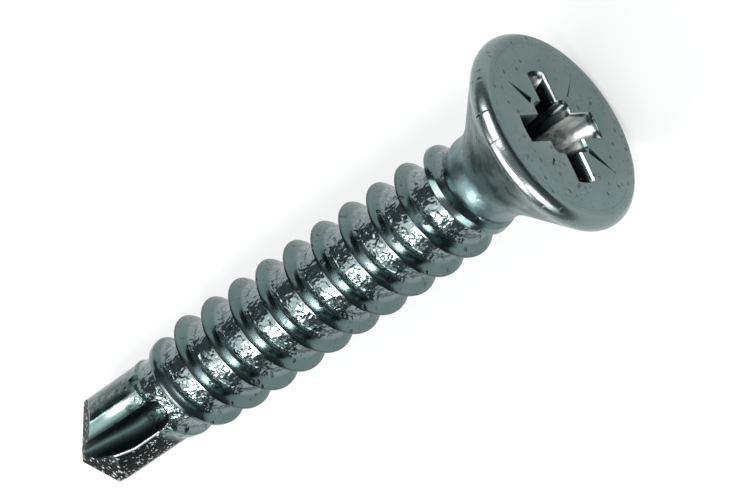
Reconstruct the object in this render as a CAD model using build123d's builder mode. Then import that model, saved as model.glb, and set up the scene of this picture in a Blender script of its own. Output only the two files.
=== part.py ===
"""Self drilling screw, countersunk head with a cross recess, one forged and rolled piece.

The screw is drawn along its own axis: the flat of the head lies at 0 and the point is at the
overall length. It is then laid down on the Z = 0 plane, on its head's rim and a thread crest,
with the point towards +X. Lengths are in millimetres and angles in degrees.
"""
from build123d import *
import math
import os

# ---- Driving dimensions -------------------------------------------------------------------

# Head
overall_length = 24.6
head_diameter = 7.8
rim_radius = 0.51  # roundness of the rim, seen in section
rim_centre_depth = 0.42  # widest place of the head, below its flat
underhead_angle = 82.0  # included angle of the countersunk underside
underhead_blend = 0.5  # length of the cone that eases the corner under the head

# Shank and thread
neck_diameter = 3.43
root_diameter = 3.08
thread_diameter = 4.2
thread_pitch = 1.411
thread_angle = 60.0  # included angle of the ridge
crest_width = 0.08
envelope_room = 0.1
root_overlap = 0.15  # how far the ridge reaches into the shank
full_thread_start = 5.24
full_thread_turns = 9.0
run_in_turns = 1.5
run_out_turns = 1.75
thread_turn = 180.0  # direction of the crest where the full thread starts
root_blend = 0.6  # length over which the shank changes its diameter

# Drill end
drill_diameter = 3.24
point_angle = 107.0  # included angle of the two cutting lips
lip_offset = 0.48  # how far a lip's outer corner stands off the middle plane
chisel_length = 0.5  # of the edge that joins the two lips
chisel_turn = 50.0  # of that edge, from the middle plane's normal
leading_fall = 55.0  # slope of the point's face ahead of a lip
trailing_fall = 47.0  # slope of the point's face behind a lip
flute_lip_angle = -31.0  # sides of a flute on the drill's surface, from the flute's middle plane
flute_heel_angle = 13.0
web_thickness = 1.05
flute_floor_width = 0.75
flute_floor_shift = -0.3
flute_corner_radius = 0.25
flute_length = 4.5  # full section, measured back from the point
flute_run_out = 1.0
curl_length = 3.0  # over which the lip curls in towards the axis
curl_lip_angle = -4.0
curl_floor_width = 0.6
curl_floor_shift = 0.08

# Cross recess
wing_span = 4.5
wing_width = 1.06
wing_floor_span = 2.5
wing_floor_width = 0.86
recess_depth = 2.3
core_side = 2.1
core_depth = 1.75
core_taper = 9.0
core_corner_cut = 0.2
recess_turn = 17.0  # about the screw's axis, from the direction that lies upwards
tick_inner_radius = 1.3
tick_outer_radius = 2.7
tick_width = 0.24
tick_depth = 0.2
worn_tick_outer_radius = 2.3
worn_tick_depth = 0.07

# Room that a cutting body has beyond the metal that it removes
cutter_room = 1.0

# ---- Sizes that follow --------------------------------------------------------------------

head_radius = head_diameter / 2
neck_radius = neck_diameter / 2
root_radius = root_diameter / 2
crest_radius = thread_diameter / 2
drill_radius = drill_diameter / 2
thread_depth = crest_radius - root_radius

rim_centre_radius = head_radius - rim_radius
flat_radius = rim_centre_radius + math.sqrt(rim_radius**2 - rim_centre_depth**2)

underhead_slope = math.radians(underhead_angle / 2)

full_thread_length = full_thread_turns * thread_pitch
full_thread_end = full_thread_start + full_thread_length
run_in_length = run_in_turns * thread_pitch
run_out_length = run_out_turns * thread_pitch
thread_start = full_thread_start - run_in_length
thread_end = full_thread_end + run_out_length

flute_start = overall_length - flute_length
lip_drop = 1 / math.tan(math.radians(point_angle / 2))


# ---- Forged blank -------------------------------------------------------------------------

def rim_point(turn, reach=rim_radius):
    """A point of the rim's section, from its direction and its distance to the rim's centre."""
    return (rim_centre_radius + reach * math.cos(turn), rim_centre_depth + reach * math.sin(turn))


# The rim's arc is drawn by its two ends and the corner where their tangents meet.
rim_arc_start = -math.asin(rim_centre_depth / rim_radius)
rim_half_arc = (underhead_slope - rim_arc_start) / 2
rim_corner = rim_point(rim_arc_start + rim_half_arc, rim_radius / math.cos(rim_half_arc))
rim_end = rim_point(underhead_slope)
neck_depth = rim_end[1] + (rim_end[0] - neck_radius) / math.tan(underhead_slope)


root_start = max(thread_start, neck_depth) + root_blend
root_end = thread_end - root_blend

with BuildPart() as blank:
    with BuildSketch(Plane.XZ) as blank_section:
        with BuildLine() as blank_outline:
            Line((0, 0), (flat_radius, 0))
            Bezier((flat_radius, 0), rim_corner, rim_end, weights=[1, math.cos(rim_half_arc), 1])
            Line(rim_end, (neck_radius, neck_depth))
            Line((neck_radius, neck_depth), (neck_radius, root_start))
            Line((neck_radius, root_start), (root_radius, root_start + root_blend))
            Line((root_radius, root_start + root_blend), (root_radius, root_end))
            Line((root_radius, root_end), (drill_radius, root_end + root_blend))
            Line((drill_radius, root_end + root_blend), (drill_radius, overall_length))
            Line((drill_radius, overall_length), (0, overall_length))
            Line((0, overall_length), (0, 0))
        make_face()
        neck_corner = blank_section.vertices().sort_by_distance((neck_radius, neck_depth))[0]
        chamfer(neck_corner, underhead_blend)
    revolve(axis=Axis.Z)

# ---- Thread -------------------------------------------------------------------------------

flank_slope = math.tan(math.radians(thread_angle / 2))
ridge_half_width = crest_width / 2 + (thread_depth + root_overlap) * flank_slope
ridge_foot = root_radius - root_overlap
run_in_slope = (crest_radius - neck_radius) / run_in_length
run_out_slope = (crest_radius - drill_radius) / run_out_length
envelope_radius = crest_radius + envelope_room
ridge_turns = math.ceil((thread_end - thread_start) / thread_pitch)

with BuildPart() as ridge_turn:
    with BuildLine() as ridge_path:
        Helix(pitch=thread_pitch, height=thread_pitch, radius=crest_radius)
    with BuildSketch(Plane.XZ):
        with BuildLine():
            Polyline(
                (ridge_foot, -ridge_half_width),
                (crest_radius, -crest_width / 2),
                (crest_radius, crest_width / 2),
                (ridge_foot, ridge_half_width),
                close=True,
            )
        make_face()
    sweep(path=ridge_path.wire(), is_frenet=True)

# The ridge's two ends are turned down to cones, so that it grows out of the neck and sinks
# into the drill end.
with BuildPart() as thread:
    with Locations(*[(0, 0, thread_start + turn * thread_pitch) for turn in range(ridge_turns)]):
        add(ridge_turn.part)
    with BuildSketch(Plane.XZ):
        with BuildLine():
            Polyline(
                (0, full_thread_start - (crest_radius - ridge_foot) / run_in_slope),
                (ridge_foot, full_thread_start - (crest_radius - ridge_foot) / run_in_slope),
                (envelope_radius, full_thread_start + envelope_room / run_in_slope),
                (envelope_radius, full_thread_end - envelope_room / run_out_slope),
                (ridge_foot, full_thread_end + (crest_radius - ridge_foot) / run_out_slope),
                (0, full_thread_end + (crest_radius - ridge_foot) / run_out_slope),
                close=True,
            )
        make_face()
    revolve(axis=Axis.Z, mode=Mode.INTERSECT)

# ---- Flutes and point ---------------------------------------------------------------------


def on_drill(direction, radius):
    """A point in the screw's cross section, from its direction and its distance to the axis."""
    turn = math.radians(direction)
    return (radius * math.cos(turn), radius * math.sin(turn))


def beyond(inner, edge):
    """The point where the cutting body ends, in line with a flute's wall and past its edge."""
    reach = 1 + cutter_room / drill_radius
    return (edge[0] + (edge[0] - inner[0]) * reach, edge[1] + (edge[1] - inner[1]) * reach)


def flute_section(height, lift, lip_angle, floor_shift, floor_width):
    """Section of a flute: a steep wall under the cutting edge, a floor and a wall up to the heel."""
    lip_foot = (web_thickness / 2, floor_shift - floor_width / 2)
    heel_foot = (web_thickness / 2, floor_shift + floor_width / 2)
    lip_end = beyond(lip_foot, on_drill(lip_angle, drill_radius))
    heel_end = beyond(heel_foot, on_drill(flute_heel_angle, drill_radius))
    with BuildSketch(Plane.XY.offset(height)) as section:
        with BuildLine():
            Polyline(*[(x + lift, y) for x, y in (lip_end, lip_foot, heel_foot, heel_end)], close=True)
        make_face()
        fillet(section.vertices().group_by(Axis.X)[0], flute_corner_radius)
    return section.sketch


def straight_section(height, lift=0):
    return flute_section(height, lift, flute_lip_angle, flute_floor_shift, flute_floor_width)


with BuildPart() as flute:
    add(straight_section(overall_length - curl_length))
    add(flute_section(overall_length, 0, curl_lip_angle, curl_floor_shift, curl_floor_width))
    loft(ruled=True)
    add(straight_section(flute_start))
    extrude(amount=flute_length - curl_length)
    add(straight_section(flute_start))
    add(straight_section(flute_start - flute_run_out, drill_radius))
    loft(ruled=True)

chisel_corner = on_drill(chisel_turn - 90, chisel_length / 2)
lip_corner = (lip_offset, -math.sqrt(drill_radius**2 - lip_offset**2))
lip_plan = Vector(lip_corner[0] - chisel_corner[0], lip_corner[1] - chisel_corner[1]).normalized()
ahead = Vector(-lip_plan.Y, lip_plan.X)


def point_face(across, fall, side):
    """Cutting block that leaves one face of the point, from its lip down across the drill."""
    lip_line = lip_plan - Vector(0, 0, lip_drop)
    fall_line = across - Vector(0, 0, math.tan(math.radians(fall)))
    outward = fall_line.cross(lip_line)
    if outward.Z < 0:
        outward = -outward
    block = 4 * (drill_radius + cutter_room)
    corner = Vector(chisel_corner[0], chisel_corner[1], overall_length)
    with BuildPart(Plane(origin=corner, x_dir=lip_line, z_dir=outward)) as cutter:
        Box(block, block, block, align=(Align.CENTER, Align.CENTER, Align.MIN))
    return cutter.part.rotate(Axis.Z, side)


# ---- Cross recess -------------------------------------------------------------------------

with BuildPart() as wing:
    with BuildSketch(Plane.XY):
        Rectangle(wing_span, wing_width)
    with BuildSketch(Plane.XY.offset(recess_depth)):
        Rectangle(wing_floor_span, wing_floor_width)
    loft(ruled=True)

with BuildPart() as core:
    with BuildSketch(Plane.XY) as core_section:
        Rectangle(core_side, core_side)
        chamfer(core_section.vertices(), core_corner_cut)
    extrude(amount=core_depth, taper=core_taper)


def tick(outer_radius, depth):
    """Straight notch that runs outwards between two wings and tapers to a point."""
    with BuildPart() as notch:
        with BuildSketch(Plane.XY):
            with BuildLine():
                Polyline(
                    (tick_inner_radius, -tick_width / 2),
                    (outer_radius, 0),
                    (tick_inner_radius, tick_width / 2),
                    close=True,
                )
            make_face()
        extrude(amount=depth)
    return notch.part


# ---- The whole screw, along its own axis --------------------------------------------------

with BuildPart() as upright_screw:
    add(blank.part)
    add(thread.part.rotate(Axis.Z, thread_turn - 360 * run_in_turns))
    for side in (0, 180):
        add(flute.part.rotate(Axis.Z, side), mode=Mode.SUBTRACT)
        add(point_face(ahead, leading_fall, side), mode=Mode.SUBTRACT)
        add(point_face(-ahead, trailing_fall, side), mode=Mode.SUBTRACT)
    for turn in (recess_turn, recess_turn + 90):
        add(wing.part.rotate(Axis.Z, turn), mode=Mode.SUBTRACT)
    add(core.part.rotate(Axis.Z, recess_turn), mode=Mode.SUBTRACT)
    for side in (45, 225):
        new_tick = tick(tick_outer_radius, tick_depth)
        worn_tick = tick(worn_tick_outer_radius, worn_tick_depth)
        add(new_tick.rotate(Axis.Z, recess_turn + side), mode=Mode.SUBTRACT)
        add(worn_tick.rotate(Axis.Z, recess_turn + side + 90), mode=Mode.SUBTRACT)

# ---- At rest ------------------------------------------------------------------------------


def rest_angle(depth, radius):
    """Angle at which the screw lies on its rim and on a ring of the given place and radius."""
    along = depth - rim_centre_depth
    across = rim_centre_radius - radius
    gap = math.hypot(along, across)
    return math.degrees(math.atan2(across, along) + math.asin(rim_radius / gap))


dip = min(
    rest_angle(full_thread_end, crest_radius),
    rest_angle(overall_length - drill_radius * lip_drop, drill_radius),
)
dip_turn = math.radians(dip)

# The screw is laid down at that angle, then set with the middle of its box over the origin.
with BuildPart(
    Plane(
        origin=(0, 0, 0),
        x_dir=(math.sin(dip_turn), 0, math.cos(dip_turn)),
        z_dir=(math.cos(dip_turn), 0, -math.sin(dip_turn)),
    )
) as lying_screw:
    add(upright_screw.part)

lying_box = lying_screw.part.bounding_box()
lying_middle = lying_box.center()
with BuildPart(
    Plane(origin=(-lying_middle.X, -lying_middle.Y, -lying_box.min.Z))
) as self_drilling_screw:
    add(lying_screw.part)

self_drilling_screw.part.label = "self_drilling_screw"

os.makedirs("parts", exist_ok=True)
export_step(self_drilling_screw.part, "parts/self_drilling_screw.step")
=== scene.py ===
"""Countersunk self drilling screw: one forged and rolled piece of zinc plated steel.

The screw is built upright in millimetres, along its own axis, with the flat of the head at 0 and
the point at LENGTH. It is then laid down in the row frame, which is in metres.
"""
import math
from contextlib import contextmanager
import bmesh
import bpy
from mathutils import Matrix, Vector


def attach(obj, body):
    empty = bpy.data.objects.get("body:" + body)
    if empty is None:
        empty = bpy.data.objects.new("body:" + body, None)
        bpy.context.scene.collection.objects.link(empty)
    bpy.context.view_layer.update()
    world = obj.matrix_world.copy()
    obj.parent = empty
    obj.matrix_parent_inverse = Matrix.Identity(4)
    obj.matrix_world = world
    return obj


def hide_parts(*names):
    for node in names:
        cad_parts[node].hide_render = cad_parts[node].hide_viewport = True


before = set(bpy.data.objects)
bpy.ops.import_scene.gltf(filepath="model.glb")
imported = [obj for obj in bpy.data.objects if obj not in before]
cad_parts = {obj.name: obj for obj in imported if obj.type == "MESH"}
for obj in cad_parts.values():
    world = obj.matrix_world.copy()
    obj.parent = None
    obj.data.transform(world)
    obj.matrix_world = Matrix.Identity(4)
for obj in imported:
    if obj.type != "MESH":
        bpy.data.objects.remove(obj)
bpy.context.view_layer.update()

MM = 0.001
FACETS = 224
# Points closer than this, in millimetres, become one.
ROW_GAP, SEAM_GAP, LOFT_GAP = 0.0005, 0.0008, 1e-5
# Holes with at most this many sides are pinholes, which are filled.
PINHOLE_SIDES = 12

# ---- Sizes, in millimetres and degrees ----------------------------------------------------
LENGTH = 24.6
HEAD_RADIUS, RIM_RADIUS, RIM_DEPTH, UNDERHEAD = 3.8952, 0.51, 0.42, 41.0
NECK_RADIUS, ROOT_RADIUS, CREST_RADIUS, DRILL_RADIUS = 1.715, 1.54, 2.1, 1.62
PITCH, CREST_WIDTH, FLANK = 1.411, 0.08, 28.0
THREAD_START, THREAD_END = 5.24, 17.939
RUN_IN, RUN_OUT = 1.6, 2.46925
BODY_START, BODY_END = 3.64, 21.0
NECK_TAPER, DRILL_TAPER = (3.72, 4.4), (19.7, 20.4)
RIDGE_BLEND, BODY_BLEND, END_FADE = 0.06, 0.05, 0.12
CREST_PHASE = 7.361 - 5 * PITCH
LIE_ANGLE = 5.672
LIE_SINE, LIE_COSINE = math.sin(math.radians(LIE_ANGLE)), math.cos(math.radians(LIE_ANGLE))
LIE_SHIFT = Vector((-12.0574, 0.0, 3.9249))


# ---- Node wrappers ------------------------------------------------------------------------
class Value:
    """A socket of a node tree, with Python's operators for its maths."""

    def __init__(self, tree, socket):
        self.tree = tree
        self.socket = socket

    def node(self, kind, *inputs, out=0, named=None, **settings):
        """Any other node: its settings first, then the values or links of its sockets.

        Sockets are given in their order, or by name or number as a dictionary.
        """
        made = self.tree.nodes.new(kind)
        for name, setting in settings.items():
            if name == "points":
                curve = made.mapping.curves[0]
                for place, height in setting[1:-1]:
                    curve.points.new(place, height)
                for point, (place, height) in zip(curve.points, setting):
                    point.location = (place, height)
                    point.handle_type = "VECTOR"
                made.mapping.update()
            else:
                setattr(made, name, setting)
        for key, given in (*enumerate(inputs), *(named or {}).items()):
            plug(self.tree, made, key, given)
        return Value(self.tree, made.outputs[out])

    def math(self, operation, *others):
        return self.node("ShaderNodeMath", self, *others, operation=operation)

    def __add__(self, other):
        return self.math("ADD", other)

    def __radd__(self, other):
        return self.math("ADD", other)

    def __sub__(self, other):
        return self.math("SUBTRACT", other)

    def __rsub__(self, other):
        return self.node("ShaderNodeMath", other, self, operation="SUBTRACT")

    def __mul__(self, other):
        return self.math("MULTIPLY", other)

    def __rmul__(self, other):
        return self.math("MULTIPLY", other)

    def __truediv__(self, other):
        return self.math("DIVIDE", other)

    def __rtruediv__(self, other):
        return self.node("ShaderNodeMath", other, self, operation="DIVIDE")

    def part(self, index):
        return self.node("ShaderNodeSeparateXYZ", self, out=index)

    def low(self, other):
        return self.math("MINIMUM", other)

    def high(self, other):
        return self.math("MAXIMUM", other)

    def size(self):
        return self.math("ABSOLUTE")

    def power(self, other):
        return self.math("POWER", other)

    def soft_low(self, other, softness):
        return self.math("SMOOTH_MIN", other, softness)

    def soft_high(self, other, softness):
        return self.math("SMOOTH_MAX", other, softness)

    def step(self, start, end):
        """Smooth rise from 0 to 1 between start and end."""
        return self.node("ShaderNodeMapRange", self, start, end, 0, 1, interpolation_type="SMOOTHSTEP")

    def fall(self, start, end):
        """Smooth fall from 1 to 0 between start and end."""
        return 1 - self.step(start, end)

    def band(self, start, full, fading, end):
        """Smooth rise between start and full, and a smooth fall between fading and end."""
        return self.step(start, full) * self.fall(fading, end)

    def bump(self, place, width):
        """A band round a place: 1 in its middle and 0 at the width to either side."""
        return (self - place).size().fall(0, width)

    def ramp(self, start, end, low, high):
        """Straight rise from low to high between start and end."""
        return self.node("ShaderNodeMapRange", self, start, end, low, high)


def plug(tree, node, key, given):
    socket = node.inputs[key]
    if isinstance(given, Value):
        tree.links.new(given.socket, socket)
    elif given is not None:
        socket.default_value = given


# ---- Threaded shank, as a node tree -------------------------------------------------------
SHANK_SIZES = {
    "Pitch": PITCH, "Crest Radius": CREST_RADIUS, "Root Radius": ROOT_RADIUS,
    "Neck Radius": NECK_RADIUS, "Drill Radius": DRILL_RADIUS, "Crest Width": CREST_WIDTH,
    "Start": BODY_START, "End": BODY_END, "Thread Start": THREAD_START,
    "Thread End": THREAD_END, "Run In": RUN_IN, "Run Out": RUN_OUT,
}
SPARE_TURNS = 2
# Places of the rows in one pitch: closer on the crest and at the root's corners.
CREST_HALF = CREST_WIDTH / 2 / PITCH
ROOT_CORNER = (CREST_WIDTH / 2 + (CREST_RADIUS - ROOT_RADIUS) * math.tan(math.radians(FLANK))) / PITCH
HALF_ROW = (0.0, CREST_HALF * 0.7, CREST_HALF * 1.6, ROOT_CORNER * 0.45, ROOT_CORNER * 0.8,
            ROOT_CORNER, ROOT_CORNER * 1.12, ROOT_CORNER * 1.35, 0.5)
ROW_LIST = [0.5 - step for step in HALF_ROW[::-1]] + [0.5 + step for step in HALF_ROW[1:]]
ROW_PLACES = [(index / (len(ROW_LIST) - 1), place) for index, place in enumerate(ROW_LIST)]


def threaded_shank_tree():
    """The shank from the neck to the drill end.

    Rows of the grid run along the thread's helix, so that one row always lies on the crest. The
    last column meets the first one a pitch further on, and the rows are cut off at both ends.
    """
    tree = bpy.data.node_groups.new("threaded_shank", "GeometryNodeTree")
    for name in SHANK_SIZES:
        tree.interface.new_socket(name, in_out="INPUT", socket_type="NodeSocketFloat")
    tree.interface.new_socket("Material", in_out="INPUT", socket_type="NodeSocketMaterial")
    tree.interface.new_socket("Shank", in_out="OUTPUT", socket_type="NodeSocketGeometry")
    given = tree.nodes.new("NodeGroupInput")
    size = {socket.name: Value(tree, socket) for socket in given.outputs if socket.name}

    rows_per_pitch = len(ROW_PLACES) - 1
    first_line = math.floor((BODY_START - CREST_PHASE) / PITCH) - SPARE_TURNS
    rows = rows_per_pitch * (math.ceil((BODY_END - BODY_START) / PITCH) + 2 * SPARE_TURNS) + 1
    start = Value(tree, None)
    grid = start.node("GeometryNodeMeshGrid", 1.0, 1.0, FACETS + 1, rows)
    place = start.node("GeometryNodeInputPosition")
    across, down = place.part(0), place.part(1)
    share = across + 0.5
    row = (down + 0.5) * ((rows - 1) / rows_per_pitch)
    whole = row.math("ROUND")
    part = row - whole + 0.5
    inside = part.node("ShaderNodeFloatCurve", 1.0, part, points=ROW_PLACES) - 0.5
    along = (whole + first_line + inside + share) * size["Pitch"] + CREST_PHASE
    along = along.high(size["Start"]).low(size["End"])

    # height of the ridge at this place, from its distance to the nearest crest line
    lines = (along - CREST_PHASE) / size["Pitch"] - share
    from_crest = (lines - lines.math("ROUND")).size() * size["Pitch"]
    steepness = 1 / math.tan(math.radians(FLANK))
    ridge = size["Crest Radius"] - (from_crest - size["Crest Width"] / 2).high(0) * steepness
    grown = (along - size["Thread Start"]) / size["Run In"] + 1
    run_in = size["Neck Radius"] + (size["Crest Radius"] - size["Neck Radius"]) * grown
    left = (size["Thread End"] - along) / size["Run Out"] + 1
    run_out = size["Drill Radius"] + (size["Crest Radius"] - size["Drill Radius"]) * left
    ridge = ridge.soft_low(run_in.low(run_out), RIDGE_BLEND)
    at_end = (along - size["Start"]).fall(0, END_FADE) + (along - size["End"]).step(-END_FADE, 0)
    ridge = ridge - at_end
    body = size["Neck Radius"] + (size["Root Radius"] - size["Neck Radius"]) * along.step(*NECK_TAPER)
    body = body + (size["Drill Radius"] - size["Root Radius"]) * along.step(*DRILL_TAPER)
    radius = body.soft_high(ridge, BODY_BLEND)
    turn = share * (2 * math.pi)
    spot = start.node("ShaderNodeCombineXYZ", radius * turn.math("COSINE"), radius * turn.math("SINE"), along)
    shape = start.node("GeometryNodeSetPosition", grid, None, spot)
    merged = start.node("GeometryNodeMergeByDistance", shape, None, ROW_GAP)
    real = start.node("GeometryNodeRealizeInstances", merged)
    finish = start.node("GeometryNodeSetMaterial", real, None, size["Material"])
    tree.links.new(finish.socket, tree.nodes.new("NodeGroupOutput").inputs[0])
    return tree


def plain_mesh(tree, name, inputs):
    """Runs a node tree on an empty mesh and keeps the result as a plain mesh."""
    holder = bpy.data.objects.new(name, bpy.data.meshes.new(name))
    bpy.context.scene.collection.objects.link(holder)
    modifier = holder.modifiers.new("build", "NODES")
    modifier.node_group = tree
    for item in tree.interface.items_tree:
        if item.in_out == "INPUT" and item.name in inputs:
            modifier[item.identifier] = inputs[item.name]
    ready = holder.evaluated_get(bpy.context.evaluated_depsgraph_get())
    mesh = bpy.data.meshes.new_from_object(ready)
    holder.modifiers.clear()
    bpy.data.objects.remove(holder)
    return mesh


# ---- Solid shapes in mesh code ------------------------------------------------------------
def mesh_of(name, points, faces):
    mesh = bpy.data.meshes.new(name)
    mesh.from_pydata([tuple(point) for point in points], [], faces)
    mesh.update()
    return mesh


@contextmanager
def edited(mesh):
    """Lets a block of code change a mesh, and puts the changed mesh back."""
    work = bmesh.new()
    work.from_mesh(mesh)
    work.normal_update()
    yield work
    work.to_mesh(mesh)
    work.free()


def turned(angle):
    """Turn round the screw's own axis."""
    return Matrix.Rotation(math.radians(angle), 3, "Z")


def ring(radius, along):
    turns = [2 * math.pi * step / FACETS for step in range(FACETS)]
    return [(radius * math.cos(turn), radius * math.sin(turn), along) for turn in turns]


def walls(rows, count):
    """Faces between rows that have equally many points."""
    faces = []
    for row in range(rows - 1):
        for step in range(count):
            following = (step + 1) % count
            here, there = row * count, (row + 1) * count
            faces.append((here + step, here + following, there + following, there + step))
    return faces


def revolved(name, outline, closed_start, closed_end):
    """Turned shape from an outline of (radius, place) pairs, in the screw's own axis."""
    points = [point for radius, along in outline for point in ring(radius, along)]
    faces = walls(len(outline), FACETS)
    if closed_start:
        faces.append(tuple(range(FACETS))[::-1])
    if closed_end:
        last = (len(outline) - 1) * FACETS
        faces.append(tuple(range(last, last + FACETS)))
    return mesh_of(name, points, faces)


def lofted(name, sections):
    """Closed body through sections that have equally many points."""
    count = len(sections[0])
    points = [point for section in sections for point in section]
    ends = [tuple(range(count))[::-1], tuple(range((len(sections) - 1) * count, len(sections) * count))]
    body = mesh_of(name, points, ends + walls(len(sections), count))
    with edited(body) as work:
        bmesh.ops.remove_doubles(work, verts=work.verts, dist=LOFT_GAP)
        bmesh.ops.recalc_face_normals(work, faces=work.faces)
    return body


def joined(name, *meshes):
    """One mesh from several whose edges meet."""
    work = bmesh.new()
    for mesh in meshes:
        work.from_mesh(mesh)
    bmesh.ops.remove_doubles(work, verts=work.verts, dist=SEAM_GAP)
    result = bpy.data.meshes.new(name)
    work.to_mesh(result)
    work.free()
    return result


def close_pinholes(mesh):
    """Fills the pinholes left by the cuts and drops the edges that belong to no face."""
    with edited(mesh) as work:
        rims = [edge for edge in work.edges if edge.is_boundary]
        bmesh.ops.holes_fill(work, edges=rims, sides=PINHOLE_SIDES)
        loose = [edge for edge in work.edges if not edge.link_faces]
        bmesh.ops.delete(work, geom=loose, context="EDGES")


def cut(mesh, *cutters):
    """The mesh with the cutting bodies taken away."""
    block = bpy.data.objects.new("block", mesh)
    bpy.context.scene.collection.objects.link(block)
    tools = []
    for cutter in cutters:
        tool = bpy.data.objects.new("tool", cutter)
        bpy.context.scene.collection.objects.link(tool)
        modifier = block.modifiers.new("cut", "BOOLEAN")
        modifier.operation = "DIFFERENCE"
        modifier.solver = "EXACT"
        modifier.object = tool
        tools.append(tool)
    ready = block.evaluated_get(bpy.context.evaluated_depsgraph_get())
    result = bpy.data.meshes.new_from_object(ready)
    block.modifiers.clear()
    for made in (block, *tools):
        bpy.data.objects.remove(made)
    return result


def ease_edges(mesh, width, start, end):
    """Rounds the sharp edges between two places along the screw."""
    with edited(mesh) as work:
        sharp = [edge for edge in work.edges
                 if edge.is_manifold and edge.calc_face_angle(0) > math.radians(EASED_ANGLE)
                 and all(start < vert.co.z < end for vert in edge.verts)]
        bmesh.ops.bevel(work, geom=sharp, offset=width, offset_type="OFFSET", segments=2, profile=0.5,
                        affect="EDGES", clamp_overlap=True)


# ---- Head with its cross recess -----------------------------------------------------------
RECESS_TURN, RECESS_DEPTH, CORE_DEPTH = 17.0, 2.3, 1.75
MOUTH_PLACES = (-0.5, 0, 0.05, 0.09)
WING_SLOPE, SIDE_SLOPE = math.tan(math.radians(23.5)), math.tan(math.radians(1.5))
WING_REACH, WING_HALF, WING_ROUND = 2.25, 0.53, 0.62
CORE_HALF, CORE_SLOPE, CORE_ROUND = 1.05, math.tan(math.radians(9)), 0.3
FLARE_DEPTH, FLARE_SLOPE = 0.13, math.tan(math.radians(21))
WING_STEPS, CORNER_STEPS = 12, 6
# Ticks: turn from the first wing, inner end, outer end, width at the inner end, depth there.
TICKS = ((45, 1.52, 2.7, 0.3, 0.3), (225, 1.4, 2.7, 0.3, 0.3),
         (137, 1.7, 2.75, 0.1, 0.05), (318, 1.85, 2.3, 0.12, 0.06))
# Nicks across the rim: turn from the upper side, width.
NICKS = ((30.0, 0.07), (13.0, 0.05))
CONE_RADII = (3.3, 2.8, 2.4, 2.1)
NECK_CURVE = ((1.93, 2.93), (1.83, 3.1), (1.76, 3.27), (1.725, 3.44), (NECK_RADIUS, BODY_START))
RIM_STEPS = 24
# Edges that bend by more than EASED_ANGLE are rounded: width, then where this starts and ends.
EASED_ANGLE = 35
HEAD_EASING, DRILL_EASING = (0.04, -1, 3), (0.015, 19, 26)


def head_outline():
    rim_centre = HEAD_RADIUS - RIM_RADIUS
    first = -math.degrees(math.asin(RIM_DEPTH / RIM_RADIUS))
    outline = []
    for step in range(RIM_STEPS + 1):
        turn = math.radians(first + (UNDERHEAD - first) * step / RIM_STEPS)
        outline.append((rim_centre + RIM_RADIUS * math.cos(turn), RIM_DEPTH + RIM_RADIUS * math.sin(turn)))
    cone_radius, cone_place = outline[-1]
    fall = 1 / math.tan(math.radians(UNDERHEAD))
    for radius in CONE_RADII:
        outline.append((radius, cone_place + (cone_radius - radius) * fall))
    return outline + list(NECK_CURVE)


def flared(along):
    """How much narrower than its mouth the recess is at a depth, on each side."""
    return FLARE_SLOPE * min(max(along, -1), FLARE_DEPTH)


def wing_section(turn, along):
    """Outline of two opposite wings: straight at the mouth, with rounded ends further down."""
    half = WING_HALF - flared(along) - SIDE_SLOPE * max(along - FLARE_DEPTH, 0)
    reach = WING_REACH - WING_SLOPE * along
    down = min(max(along / FLARE_DEPTH, 0), 1)
    curve = WING_REACH + (WING_ROUND - WING_REACH) * down
    outline = []
    for way in (1, -1):
        for step in range(WING_STEPS + 1):
            y = half * (step / (WING_STEPS / 2) - 1)
            outline.append((way * (reach - curve + math.sqrt(curve * curve - y * y)), way * y))
    return [turn @ Vector((x, y, along)) for x, y in outline]


def core_section(turn, along):
    """Outline of the square core with rounded corners."""
    half = CORE_HALF - flared(along) - CORE_SLOPE * max(along - FLARE_DEPTH, 0)
    middle = half - CORE_ROUND
    outline = []
    for corner in range(4):
        for step in range(CORNER_STEPS + 1):
            way = math.radians(90 * (corner + step / CORNER_STEPS))
            x = middle * (1 if corner in (0, 3) else -1)
            y = middle * (1 if corner in (0, 1) else -1)
            outline.append((x + CORE_ROUND * math.cos(way), y + CORE_ROUND * math.sin(way)))
    return [turn @ Vector((x, y, along)) for x, y in outline]


def recess_cutters():
    """Two crossed pairs of wings and the core between them."""
    turns = [turned(RECESS_TURN + side) for side in (0, 90)]
    wings, core = ((*MOUTH_PLACES, FLARE_DEPTH, bottom) for bottom in (RECESS_DEPTH, CORE_DEPTH))
    bodies = [lofted("wings", [wing_section(turn, along) for along in wings]) for turn in turns]
    bodies.append(lofted("core", [core_section(turns[0], along) for along in core]))
    return bodies


def tick_cutters():
    """Tapered grooves between the wings, deepest next to the core."""
    bodies = []
    for side, inner, outer, width, depth in TICKS:
        turn = turned(RECESS_TURN + side)
        middle = inner + 0.35 * (outer - inner)
        sections = []
        for place, share in ((outer, 0.02), (middle, 0.7), (inner + 0.04, 1), (inner, 0.7)):
            half, deep = width / 2 * share, depth * share
            outline = ((-half * 1.3, -0.1), (half * 1.3, -0.1), (half, 0),
                       (half * 0.5, deep), (-half * 0.5, deep), (-half, 0))
            sections.append([turn @ Vector((place, y, along)) for y, along in outline])
        bodies.append(lofted("tick", sections))
    return bodies


def nick_cutters():
    """Narrow dents across the rim of the head."""
    bodies = []
    for side, width in NICKS:
        sections = []
        for half, away in ((width * 0.2, 3.8), (width, 4.0)):
            outline = ((-half, 0.1), (half, 0.16), (half, 0.82), (-half, 0.76))
            sections.append([turned(side) @ Vector((away - 0.06 * abs(along - RIM_DEPTH), y, along))
                             for y, along in outline])
        bodies.append(lofted("nick", sections))
    return bodies


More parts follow.
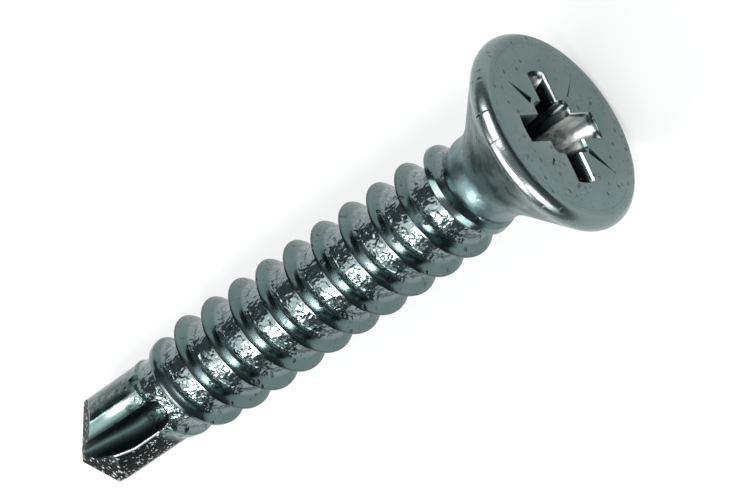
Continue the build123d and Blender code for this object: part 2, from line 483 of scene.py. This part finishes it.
# ---- Drill end ----------------------------------------------------------------------------
WEB_HALF, FLOOR_HALF, FLOOR_SHIFT = 0.525, 0.375, -0.3
LIP_ANGLE, HEEL_ANGLE, HEEL_ROUND = -31.0, 13.0, 19.0
CURL_START, CURL_LIP, CURL_HALF, CURL_SHIFT = 21.6, -4.0, 0.3, 0.08
FLUTE_START, FLUTE_RUN_OUT, MOST_RISE, RISE_CURVE = 20.1, 1.0, 1.3, 1.35
LIP_SLOPE, LEADING_FALL, TRAILING_FALL = 53.5, 55.0, 47.0
LIP_OFFSET, CHISEL_HALF, CHISEL_TURN = 0.48, 0.25, 50.0
POCKET_TURN, POCKET_START = 47.0, 19.9
FLUTE_PLACES = [18.8 + 0.1 * step for step in range(28)] + [21.6 + 0.15 * step for step in range(1, 24)]
# Shares of a line or a curve at which the flute's outline has a point.
WALL_SHARES, FLOOR_SHARES = (0, 0.2, 0.4, 0.6, 0.74), (0.14, 0.28, 0.42, 0.56, 0.7, 0.84, 1)
HEEL_SHARES, HEEL_LOW, HEEL_HIGH = (0.2, 0.4, 0.6, 0.8, 1), 0.3, 0.7
# How far past the drill's surface the cutter reaches, as a share, and how hollow its floor is.
OUTSIDE, HOLLOW = 1.9, 0.02
DRILL_PLACES = (BODY_END, 22.2, 23.4, LENGTH + 0.1)


def flute_section(along):
    """Outline of the room in a flute: the lip's wall, a hollow floor and the heel's wall."""
    curl = min(max((along - CURL_START) / (LENGTH - CURL_START), 0), 1)
    rise = min(max((FLUTE_START - along) / FLUTE_RUN_OUT, 0), MOST_RISE)
    lift = DRILL_RADIUS * rise ** RISE_CURVE
    half = FLOOR_HALF + (CURL_HALF - FLOOR_HALF) * curl
    shift = FLOOR_SHIFT + (CURL_SHIFT - FLOOR_SHIFT) * curl
    lip = math.radians(LIP_ANGLE + (CURL_LIP - LIP_ANGLE) * curl)
    heel = math.radians(HEEL_ANGLE)
    feet = [Vector((WEB_HALF, shift - half)), Vector((WEB_HALF, shift + half))]
    edges = [Vector((math.cos(turn), math.sin(turn))) * DRILL_RADIUS for turn in (lip, heel)]
    wall_end = feet[0] + (edges[0] - feet[0]) * OUTSIDE
    outline = [wall_end + (feet[0] - wall_end) * share for share in WALL_SHARES]
    corner = outline[-1]
    heel_end = math.radians(HEEL_ANGLE + HEEL_ROUND)
    onto_land = Vector((math.cos(heel_end), math.sin(heel_end))) * DRILL_RADIUS
    on_wall = feet[1] + (edges[1] - feet[1]) * HEEL_HIGH
    shoulder = Vector((onto_land.x, (onto_land.y + on_wall.y) / 2))
    other = feet[1] + (edges[1] - feet[1]) * HEEL_LOW
    middle = Vector((WEB_HALF - HOLLOW, shift))
    outline += [rounded(corner, feet[0], middle, share) for share in FLOOR_SHARES]
    outline += [rounded(middle, feet[1], other, share) for share in FLOOR_SHARES]
    outline.append(on_wall)
    outline += [rounded(on_wall, shoulder, onto_land, share) for share in HEEL_SHARES]
    outline.append(onto_land * OUTSIDE)
    return [Vector((point.x + lift, point.y, along)) for point in outline]


def rounded(start, corner, end, share):
    """Place on the curve that leaves the start and reaches the end, pulled towards the corner."""
    return start * (1 - share) ** 2 + corner * (2 * share * (1 - share)) + end * share ** 2


def flute_cutters():
    """The room in each of the two flutes."""
    sections = [flute_section(along) for along in FLUTE_PLACES]
    return [lofted("flute", [[turned(side) @ point for point in section] for section in sections])
            for side in (0, 180)]


def pocket_cutter():
    """Small flat-bottomed dent in the land, next to the end of the thread."""
    outside = DRILL_RADIUS + 0.5
    sections = []
    for step, height in ((0, -0.02), (0.12, -0.13), (0.42, -0.09), (0.5, 0.02)):
        low = DRILL_RADIUS + height
        outline = ((low, -0.24), (low, 0.2), (outside, 0.24), (outside, -0.24))
        sections.append([turned(POCKET_TURN) @ Vector((x, y, POCKET_START + step)) for x, y in outline])
    return lofted("pocket", sections)


def point_planes():
    """A point and the outward direction of each of the four faces of the drill's point."""
    chisel = math.radians(CHISEL_TURN - 90)
    corner = Vector((math.cos(chisel), math.sin(chisel), 0)) * CHISEL_HALF
    outer = Vector((LIP_OFFSET, -math.sqrt(DRILL_RADIUS ** 2 - LIP_OFFSET ** 2), 0))
    lip = (outer - corner).normalized()
    ahead = Vector((-lip.y, lip.x, 0))
    lip_line = lip - Vector((0, 0, 1 / math.tan(math.radians(LIP_SLOPE))))
    planes = []
    for across, fall in ((ahead, LEADING_FALL), (-ahead, TRAILING_FALL)):
        outward = (across - Vector((0, 0, math.tan(math.radians(fall))))).cross(lip_line)
        outward = outward.normalized() * (1 if outward.z > 0 else -1)
        for side in (0, 180):
            planes.append((turned(side) @ (corner + Vector((0, 0, LENGTH))), turned(side) @ outward))
    return planes


def grind_point(mesh):
    """Grinds the end of the mesh to the four faces of the point."""
    with edited(mesh) as work:
        for place, outward in point_planes():
            everything = work.verts[:] + work.edges[:] + work.faces[:]
            sliced = bmesh.ops.bisect_plane(work, geom=everything, dist=1e-6, plane_co=place,
                                            plane_no=outward, clear_outer=True)
            rim = [item for item in sliced["geom_cut"] if isinstance(item, bmesh.types.BMEdge)]
            bmesh.ops.holes_fill(work, edges=rim, sides=0)


# ---- The whole screw ----------------------------------------------------------------------
CAP_FACING, CAP_GAP = 0.99, 0.003


def laid_down():
    """The move from the screw's own axis in millimetres to the row frame in metres."""
    turn = Matrix(((LIE_SINE, 0, LIE_COSINE), (0, -1, 0), (LIE_COSINE, 0, -LIE_SINE)))
    return Matrix.Scale(MM, 4) @ Matrix.Translation(LIE_SHIFT) @ turn.to_4x4()


def take_caps_out(mesh):
    """Removes the flat caps inside the screw, where the head meets the shank."""
    with edited(mesh) as work:
        caps = [face for face in work.faces if abs(face.normal.z) > CAP_FACING
                and all(abs(vert.co.z - BODY_START) < CAP_GAP for vert in face.verts)]
        bmesh.ops.delete(work, geom=caps, context="FACES_ONLY")


def screw_mesh(material):
    """The screw as one closed mesh, lying in the row frame."""
    head = cut(revolved("head", head_outline(), True, True), *recess_cutters())
    ease_edges(head, *HEAD_EASING)
    head = cut(head, *tick_cutters(), *nick_cutters())
    threaded = plain_mesh(threaded_shank_tree(), "shank", {**SHANK_SIZES, "Material": material})
    cap = mesh_of("cap", ring(NECK_RADIUS, BODY_START), [tuple(range(FACETS))[::-1]])
    drill = revolved("drill", [(DRILL_RADIUS, along) for along in DRILL_PLACES], False, True)
    shank = cut(joined("shank", cap, threaded, drill), *flute_cutters(), pocket_cutter())
    grind_point(shank)
    ease_edges(shank, *DRILL_EASING)
    whole = joined("screw", head, shank)
    take_caps_out(whole)
    close_pinholes(whole)
    whole.transform(laid_down())
    return whole


# ---- Metal --------------------------------------------------------------------------------
class Paint:
    """Shader tree of one material, with the place on the screw in millimetres."""

    def __init__(self, name):
        self.material = bpy.data.materials.new(name)
        self.material.use_nodes = True
        self.tree = self.material.node_tree
        self.tree.nodes.clear()
        self.shader = self.tree.nodes.new("ShaderNodeBsdfPrincipled")
        self.output = self.tree.nodes.new("ShaderNodeOutputMaterial")
        self.tree.links.new(self.shader.outputs[0], self.output.inputs["Surface"])
        self.start = Value(self.tree, None)

    def spot(self):
        """Place on the screw: its axis along Z from the head's flat, its upper side at +X."""
        seat = laid_down().inverted()
        place = self.start.node("ShaderNodeTexCoord", out=3)
        turn = tuple(seat.to_euler())
        size = (1 / MM,) * 3
        return place.node("ShaderNodeMapping", place, tuple(seat.to_translation()), turn, size)

    def stretched(self, place, *size):
        return place.node("ShaderNodeMapping", place, None, None, size)

    def noise(self, place, scale, detail=2.0, rough=0.5):
        return place.node("ShaderNodeTexNoise", place, None, scale, detail, rough)

    def cells(self, place, scale):
        return place.node("ShaderNodeTexVoronoi", place, None, scale)

    def mix(self, share, first, second):
        """Two colours mixed, through the colour sockets of a Mix node: 6 and 7, out at 2."""
        sockets = {0: share, 6: first, 7: second}
        return self.start.node("ShaderNodeMix", named=sockets, out=2, data_type="RGBA")

    def raise_by(self, height, distance):
        return self.start.node("ShaderNodeBump", named={"Distance": distance, "Height": height})

    def feed(self, name, given):
        plug(self.tree, self.shader, name, given)


# Direction of the recess wing that gets a painted highlight, across the screw.
WING_X, WING_Y = -0.956, -0.292
# Darkest and lightest plating, then the colours laid over it: marks of the plating, painted highlights and
# painted shade.
ZINC = ((0.112, 0.167, 0.163, 1), (0.152, 0.214, 0.208, 1))
SHADES = {
    "flank": (0.04, 0.08, 0.075, 1), "flank_highlight": (0.42, 0.49, 0.5, 1), "core": (0.18, 0.23, 0.235, 1),
    "specks": (0.05, 0.045, 0.04, 1), "grain": (0.06, 0.085, 0.08, 1), "dust": (0.05, 0.05, 0.045, 1),
    "recess": (0.02, 0.028, 0.026, 1), "recess_highlight": (0.97, 0.98, 0.95, 1), "rim": (0.32, 0.36, 0.36, 1),
    "rim_highlight": (0.75, 0.78, 0.77, 1), "rim_shade": (0.03, 0.04, 0.05, 1),
    "ring": (0.06, 0.07, 0.065, 1), "neck": (0.175, 0.255, 0.265, 1), "blotch": (0.035, 0.06, 0.06, 1),
    "crest": (0.05, 0.055, 0.05, 1), "flute": (0.015, 0.026, 0.025, 1), "land": (0.03, 0.035, 0.03, 1),
    "heel_highlight": (0.7, 0.74, 0.72, 1), "grime": (0.008, 0.011, 0.011, 1), "flecks": (0.75, 0.78, 0.76, 1),
    "edge": (0.85, 0.88, 0.87, 1),
}
# Height of one unit of bump, in millimetres, and the bend from which an edge stays sharp.
BUMP_DISTANCE, SHARP_ANGLE = 0.004, 28


def zinc_plated_steel():
    paint = Paint("zinc_plated_steel")
    spot = paint.spot()
    x, y, along = (spot.part(index) for index in range(3))
    normal = paint.start.node("ShaderNodeTexCoord", out=1)
    facing = normal.part(0) * LIE_COSINE - normal.part(2) * LIE_SINE
    radius = (x * x + y * y).power(0.5)
    turn = y.math("ARCTAN2", x) * (180 / math.pi)
    around = turn - (turn / 180).math("FLOOR") * 180
    across, upward = x * WING_X + y * WING_Y, x * WING_Y - y * WING_X

    # the head's flat and rim
    flat = along.fall(0.01, 0.04)
    # the rim is a little lighter all round, which brightens its highlight
    rim = radius.step(3.5, 3.62) * along.fall(0.75, 0.95)
    near_side = turn.bump(5, 48)
    # painted highlight along the rim on its near side, and a band of painted shade between it and the flat
    rim_highlight = rim * near_side * radius.step(3.72, 3.82) * along.fall(0.5, 0.65)
    rim_shade = near_side * radius.bump(3.64, 0.14) * along.fall(0.3, 0.4)

    # the recess, darkened as painted shade, with painted highlights on parts of its walls and mouth
    far_wall = across.step(2.1, 2.2)
    inside = (radius + along * 0.43).fall(2.32, 2.38)
    deeper = along.step(0.16, 0.3).high(far_wall * along.step(0.03, 0.06))
    # painted shade: the recess is darkened below its mouth, from nearer the top at the far end of the wing
    recess = inside * along.fall(2.4, 2.5) * deeper
    # painted highlights: a crescent at the end of the upper wing (corner), a band just below the mouth
    # (mouth), and the walls of the wing along WING_X, WING_Y
    corner = upward.step(1.85, 2.0) * along.fall(0.5, 0.6)
    mouth = along.band(0.02, 0.04, 0.07, 0.12) * across.step(0.2, 0.35) * (1 - far_wall)
    mouth = mouth * inside * across.size().low(upward.size()).fall(0.62, 0.68)
    recess_highlight = (recess * across.band(0.75, 1.2, 2.1, 2.2).high(corner)).high(mouth)
    # the rest of the recess keeps its painted shade
    recess = recess * (1 - recess_highlight)

    # the neck and the thread
    under_head = along.band(0.75, 1.1, 3.9, 4.3)
    neck = along.step(2.4, 3.2)
    threaded = along.band(4.0, 4.8, 19.4, 20.2)
    core = threaded * radius.fall(1.6, 1.75)
    flank = threaded * (1 - core)
    # painted highlight: lighter flanks along the middle of the upper side
    flank_highlight = flank * x.step(0.5, 1.0) * y.bump(0, 0.95)
    # painted shade: darker flanks at either side of the upper side, beside the painted highlight
    upper_flank_shade = y.size().bump(1.1, 0.5) * x.step(0.3, 0.8)
    crest = threaded * radius.step(2.065, 2.085)
    burr = along.band(18.7, 19.3, 20.6, 21.0) * (around.step(125, 140) + 1 - around.step(20, 35))

    # the drill end
    drill = along.step(20.1, 20.6)
    land = drill * radius.step(1.575, 1.6)
    point = facing.step(0.3, 0.4) * along.step(22.5, 22.8)
    flute = drill * (1 - land) * (1 - point)
    lip = around - along.ramp(21.6, 24.6, 149, 175)
    facet = 1 - around.step(14, 20) * around.fall(34, 40)
    # painted highlight: a light streak in each flute near the heel
    heel_highlight = flute * around.bump(27, 6) * along.bump(20.9, 1.2)
    leading = land * around.step(100, 106)
    # painted highlight: a light line along each cutting edge
    edge = drill * radius.step(1.53, 1.57) * lip.bump(-0.5, 3.2) * (1 - point)
    grimy = point.high(leading)

    # patterns of the plating
    cloud = paint.noise(spot, 0.9, 3.0)
    grain = paint.noise(spot, 16.0, 2.0, 0.5)
    sparkle = paint.noise(paint.stretched(spot, 1, 1, 0.8), 4.6, 1.0, 0.5)
    blotch = paint.noise(spot, 1.6, 3.0, 0.6).step(0.42, 0.62)
    specks = paint.cells(spot, 2.3).fall(0.12, 0.26) * paint.noise(spot, 1.7, 1.0).step(0.36, 0.45)
    dust = paint.cells(spot, 6.0).fall(0.14, 0.34) * paint.noise(spot, 1.1, 2.0).step(0.44, 0.58)
    flecks = paint.noise(spot, 7.0, 2.0, 0.6).step(0.6, 0.64) * 0.9
    hollows = paint.noise(spot, 3.0, 2.0, 0.5)

    # how much of each shade covers what is under it, from the bottom up
    layers = {
        # the flanks a little darker all round, with painted shade beside the painted highlight on the upper
        # side
        "flank": flank * (0.2 + upper_flank_shade * 0.3),
        "flank_highlight": flank_highlight,
        "core": core,
        "specks": specks * 0.7,
        "grain": grain.step(0.5, 0.7) * 0.2,
        "dust": dust * 0.5,
        # painted shade in the recess
        "recess": recess * 0.85,
        "recess_highlight": recess_highlight,
        "rim": rim * 0.2,
        "rim_highlight": rim_highlight * (0.3 + cloud * 0.7),
        "rim_shade": rim_shade * 0.7,
        "ring": flat * radius.bump(3.36, 0.05) * 0.25,
        "neck": under_head * neck * 0.6,
        "blotch": under_head * blotch * (0.85 - neck * 0.5),
        "crest": crest * 0.6,
        # painted shade: the flutes are darkened, less so in the strip where facet is 0
        "flute": flute * along.step(20.0, 20.3) * (0.55 + facet * 0.4),
        "land": land * (hollows + grain * 0.4).step(0.6, 0.75) * 0.7,
        "heel_highlight": heel_highlight * (0.4 + grain),
        "grime": grimy * 0.96,
        "flecks": grimy * flecks,
        # painted highlight along the cutting edges
        "edge": edge,
    }
    colour = paint.mix(cloud, *ZINC)
    for name, share in layers.items():
        colour = paint.mix(share, colour, SHADES[name])
    rough = 0.19 + cloud * 0.06 + rim * 0.03 + under_head * 0.16 - flank * 0.07 + flank_highlight * 0.08 - core * 0.05
    rough = rough + flute * 0.2 + recess_highlight * 0.12 + grimy * (1 - flecks) * 0.5
    height = (grain * (0.3 + rim * 0.9 + under_head * 0.8) + cloud * 0.8 - specks * 2.5 + core * sparkle * 15
              + burr * hollows * 30 + grimy * sparkle * 8 + under_head * hollows * 4)
    paint.feed("Base Color", colour)
    paint.feed("Metallic", 1.0)
    paint.feed("Roughness", rough)
    paint.feed("Normal", paint.raise_by(height, BUMP_DISTANCE * MM))
    return paint.material


steel = zinc_plated_steel()
screw = bpy.data.objects.new("screw", screw_mesh(steel))
bpy.context.scene.collection.objects.link(screw)
screw.data.materials.clear()
screw.data.materials.append(steel)
screw.data.shade_smooth()
screw.data.set_sharp_from_angle(angle=math.radians(SHARP_ANGLE))
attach(screw, "root")
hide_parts("self_drilling_screw")

# ---- Floor, light and camera --------------------------------------------------------------
FLOOR_EDGE, FLOOR_GLOW = 0.4, 0.58
FLOOR_COLOUR, FLOOR_ROUGHNESS = (0.4, 0.4, 0.4, 1), 0.85
WORLD_COLOUR, WORLD_STRENGTH = (0.85, 0.97, 1.0, 1), 0.14
# Lamps: direction (round the head end, upwards), distance, width, height, power.
LAMPS = {
    "left": ((-84, 49), 0.5, 0.36, 0.35, 1.9),
    "right": ((98, 43), 0.5, 0.29, 0.3, 1.4),
    "front": ((158, 38), 0.5, 0.22, 0.33, 0.5),
    "front_centre": ((157, 48), 0.48, 0.12, 0.11, 1.0),
    "far": ((-168, 45), 0.5, 0.26, 0.34, 0.65),
}


def pale_floor():
    """Light grey floor that also glows for the camera and in reflections, but lights nothing."""
    paint = Paint("pale_floor")
    paint.feed("Base Color", FLOOR_COLOUR)
    paint.feed("Roughness", FLOOR_ROUGHNESS)
    seen, mirrored, through = (paint.start.node("ShaderNodeLightPath", out=ray) for ray in (0, 3, 6))
    strength = seen.high(mirrored).high(through) * FLOOR_GLOW
    glow = paint.start.node("ShaderNodeEmission", (1, 1, 1, 1), strength)
    surface = Value(paint.tree, paint.shader.outputs[0])
    both = paint.start.node("ShaderNodeAddShader", surface, glow)
    plug(paint.tree, paint.output, "Surface", both)
    return paint.material


corners = [(x * FLOOR_EDGE, y * FLOOR_EDGE, 0) for x, y in ((-1, -1), (1, -1), (1, 1), (-1, 1))]
floor = bpy.data.objects.new("floor", mesh_of("floor", corners, [(0, 1, 2, 3)]))
bpy.context.scene.collection.objects.link(floor)
floor.data.materials.append(pale_floor())

world = bpy.data.worlds.new("studio")
bpy.context.scene.world = world
world.use_nodes = True
sky = world.node_tree.nodes["Background"]
sky.inputs["Color"].default_value = WORLD_COLOUR
sky.inputs["Strength"].default_value = WORLD_STRENGTH


def toward(azimuth, elevation):
    """A direction, from its angle round the screw's head end towards +Y and its height."""
    turn, rise = math.radians(azimuth), math.radians(elevation)
    return Vector((-math.cos(rise) * math.cos(turn), math.cos(rise) * math.sin(turn), math.sin(rise)))


def softbox(name, direction, distance, width, height, power):
    """Soft lamp that faces the screw from a direction."""
    lamp = bpy.data.lights.new(name, "AREA")
    lamp.shape = "RECTANGLE"
    lamp.size, lamp.size_y, lamp.energy = width, height, power
    holder = bpy.data.objects.new(name, lamp)
    bpy.context.scene.collection.objects.link(holder)
    away = toward(*direction).normalized()
    aim = away.to_track_quat("Z", "Y").to_matrix()
    holder.matrix_world = Matrix.Translation(away * distance) @ aim.to_4x4()


for name, lamp_values in LAMPS.items():
    softbox(name, *lamp_values)

# The camera's place and its axes, from the screw's own axes as the camera sees them.
SEEN_AXIS = Vector((-0.7007, -0.4822, -0.5258))
SEEN_UP = Vector((-0.4331, -0.2981, 0.8506))
SEEN_SIDE = Vector((-0.5669, 0.8237, 0.0))
SEEN_HEAD = Vector((6.51, 4.31, -260.0)) * MM
LENS, SENSOR_WIDTH, NEAREST = 357.5, 36, 0.01

axis = Vector((LIE_COSINE, 0, -LIE_SINE))
up = Vector((LIE_SINE, 0, LIE_COSINE))
side = Vector((0, -1, 0))
camera = bpy.data.objects.new("camera", bpy.data.cameras.new("camera"))
bpy.context.scene.collection.objects.link(camera)
camera.data.lens = LENS
camera.data.sensor_width = SENSOR_WIDTH
camera.data.clip_start = NEAREST
columns = [axis * SEEN_AXIS[k] + up * SEEN_UP[k] + side * SEEN_SIDE[k] for k in range(3)]
looks = Matrix(columns).transposed()
camera.matrix_world = Matrix.Translation(LIE_SHIFT * MM - looks @ SEEN_HEAD) @ looks.to_4x4()
bpy.context.scene.camera = camera
bpy.context.scene.view_settings.view_transform = "Standard"
